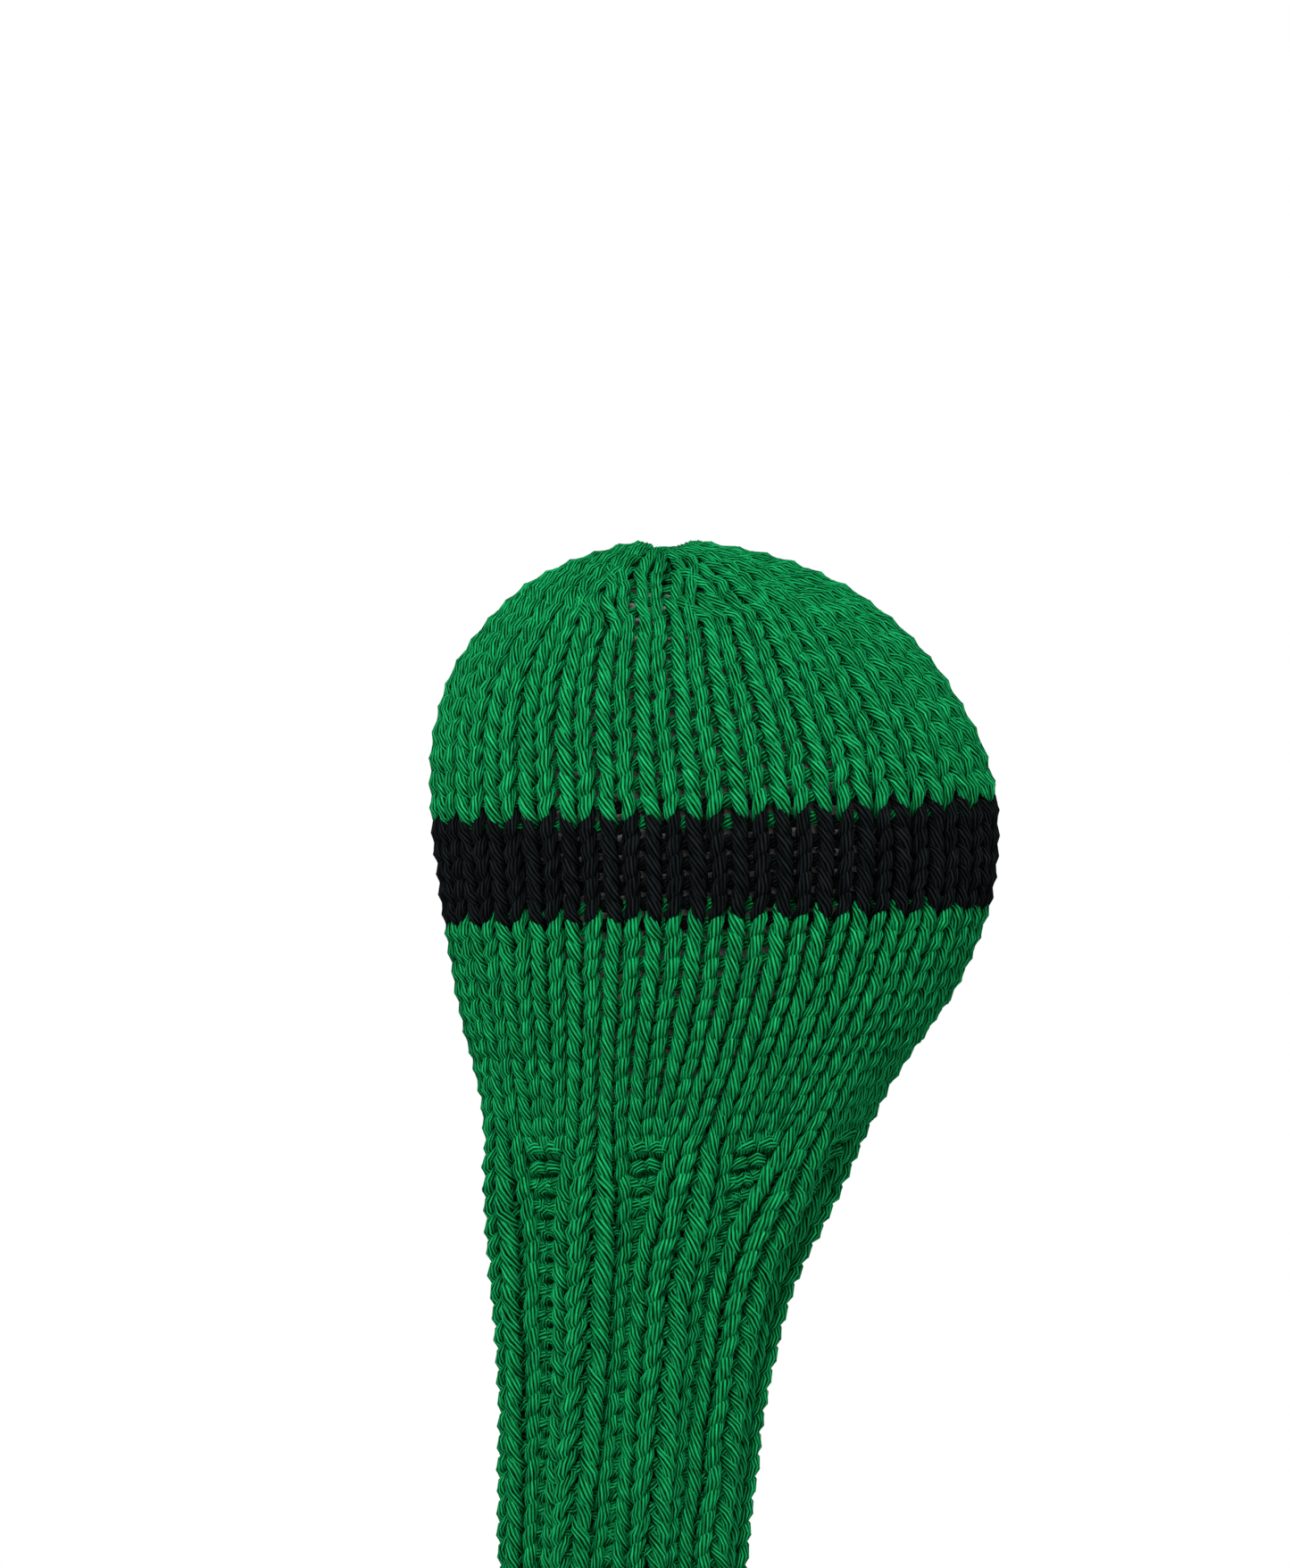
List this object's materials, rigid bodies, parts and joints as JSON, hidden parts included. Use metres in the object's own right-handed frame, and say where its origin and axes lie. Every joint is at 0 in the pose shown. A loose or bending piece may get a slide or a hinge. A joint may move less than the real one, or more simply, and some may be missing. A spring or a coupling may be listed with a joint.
{
  "type": "knitted driver head cover",
  "caption": "Chunky knitted golf driver cover: rounded green head with a black stripe, sewn-in lining and a long ribbed neck that bends.",
  "frame": {"origin": "centre of the neck's mouth, on the outer end of the cast-on round", "axes": "+Z from the mouth up to the crown; +X towards the toe side, where the head bulges; -Y towards the viewer of the front"},
  "size_m": [0.137, 0.082, 0.356],
  "materials": {
    "green_yarn": "plied acrylic yarn, soft and slightly fuzzy",
    "black_yarn": "plied acrylic yarn, soft and slightly fuzzy",
    "lining_fleece": "brushed fleece",
    "sewing_thread": "matt spun thread"
  },
  "bodies": {
    "head": {"crown_knit": "green_yarn", "crown_draw_yarn": "green_yarn", "stripe_knit": "black_yarn", "shoulder_knit": "green_yarn", "lining_front": "lining_fleece", "lining_back": "lining_fleece", "lining_seam_thread": "sewing_thread", "lining_edge_stitch": "sewing_thread"},
    "neck_upper": {"neck_rib_upper": "green_yarn"},
    "neck_lower": {"neck_rib_lower": "green_yarn", "cast_on_edge": "green_yarn"}
  },
  "joints": [
    {"name": "neck_side_bend", "type": "hinge", "parent": "head", "child": "neck_upper", "pos_m": [0.004, 0, 0.17], "axis": [0, 1, 0], "range_deg": [-40, 40], "stiffness_Nm_per_rad": 0.03},
    {"name": "neck_fold", "type": "hinge", "parent": "neck_upper", "child": "neck_lower", "pos_m": [0, 0, 0.085], "axis": [1, 0, 0], "range_deg": [-50, 50], "stiffness_Nm_per_rad": 0.02}
  ]
}
